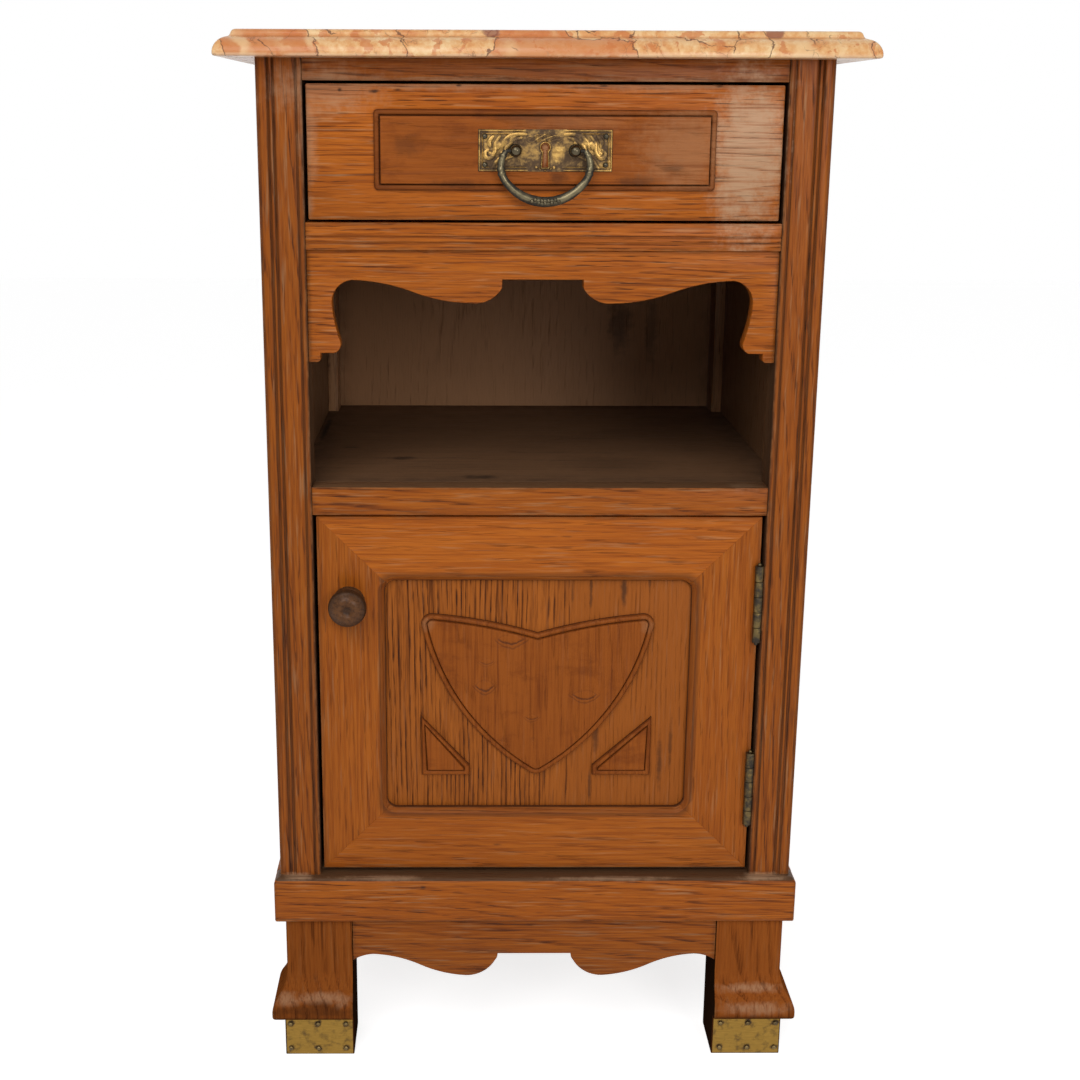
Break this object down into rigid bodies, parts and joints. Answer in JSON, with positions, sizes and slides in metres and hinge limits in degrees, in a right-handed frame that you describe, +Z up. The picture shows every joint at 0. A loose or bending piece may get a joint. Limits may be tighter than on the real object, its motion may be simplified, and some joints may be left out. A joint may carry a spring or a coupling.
{
  "type": "side cabinet",
  "caption": "Small oak side cabinet with a moulded marble top, a drawer with a bail pull, an open niche under a scrolled apron and a panelled cupboard door, on a plinth with bracket feet.",
  "frame": {"origin": "on the floor, under the middle of the marble top", "axes": "+Z up, the front faces -Y, +X to the right of someone facing the front"},
  "size_m": [0.45, 0.38, 0.788],
  "materials": {
    "marble": "polished, veined",
    "oak": "waxed, worn edges",
    "figured_oak": "waxed, fine figure",
    "inner_oak": "dull, stained",
    "drawer_lining": "bare",
    "aged_brass": "aged, dark in the hollows",
    "dark_bronze": "dark patina",
    "lock_iron": "dull",
    "turned_wood": "dark, polished"
  },
  "bodies": {
    "carcass": {"marble_top": "marble", "front_left_post": "oak", "front_right_post": "oak", "rear_left_post": "oak", "rear_right_post": "oak", "left_side_panel": "oak", "right_side_panel": "oak", "left_top_rail": "inner_oak", "right_top_rail": "inner_oak", "back_top_rail": "inner_oak", "front_top_rail": "oak", "back_panel": "inner_oak", "drawer_divider": "oak", "drawer_runners": "inner_oak", "dust_board": "inner_oak", "niche_apron": "oak", "niche_shelf": "inner_oak", "shelf_edge_strip": "oak", "cabinet_floor": "inner_oak", "plinth_front": "oak", "plinth_left": "oak", "plinth_right": "oak", "plinth_back": "inner_oak", "base_apron": "oak", "side_aprons": "oak", "front_left_foot": "oak", "front_right_foot": "oak", "rear_left_foot": "oak", "rear_right_foot": "oak", "foot_plates": "aged_brass", "foot_plate_nails": "aged_brass", "upper_hinge_post_leaf": "dark_bronze", "lower_hinge_post_leaf": "dark_bronze", "hinge_pins": "dark_bronze", "hinge_post_screws": "lock_iron", "door_stop": "inner_oak"},
    "door": {"door_left_stile": "oak", "door_right_stile": "oak", "door_top_rail": "oak", "door_bottom_rail": "oak", "door_panel": "oak", "heart_overlay": "figured_oak", "triangle_overlays": "figured_oak", "upper_hinge_door_leaf": "dark_bronze", "lower_hinge_door_leaf": "dark_bronze", "hinge_door_screws": "lock_iron"},
    "latch": {"door_knob": "turned_wood", "latch_tongue": "lock_iron"},
    "drawer": {"drawer_front": "oak", "drawer_tablet": "figured_oak", "drawer_left_side": "drawer_lining", "drawer_right_side": "drawer_lining", "drawer_back": "drawer_lining", "drawer_bottom": "drawer_lining", "pull_backplate": "aged_brass", "pull_studs": "dark_bronze", "backplate_pins": "dark_bronze", "lock_case": "lock_iron"},
    "bail": {"pull_bail": "dark_bronze"},
    "bolt": {"lock_bolt": "lock_iron"}
  },
  "joints": [
    {"name": "drawer_slide", "type": "slide", "parent": "carcass", "child": "drawer", "axis": [0, -1, 0], "range_m": [0, 0.22]},
    {"name": "bail_swing", "type": "hinge", "parent": "drawer", "child": "bail", "pos_m": [0, -0.175, 0.7088], "axis": [-1, 0, 0], "range_deg": [0, 95]},
    {"name": "bolt_throw", "type": "slide", "parent": "drawer", "child": "bolt", "axis": [0, 0, 1], "range_m": [0, 0.008]},
    {"name": "door_swing", "type": "hinge", "parent": "carcass", "child": "door", "pos_m": [0.1645, -0.1632, 0.303], "axis": [0, 0, 1], "range_deg": [0, 150]},
    {"name": "latch_turn", "type": "hinge", "parent": "door", "child": "latch", "pos_m": [-0.1425, -0.15, 0.379], "axis": [0, 1, 0], "range_deg": [0, 90]}
  ]
}
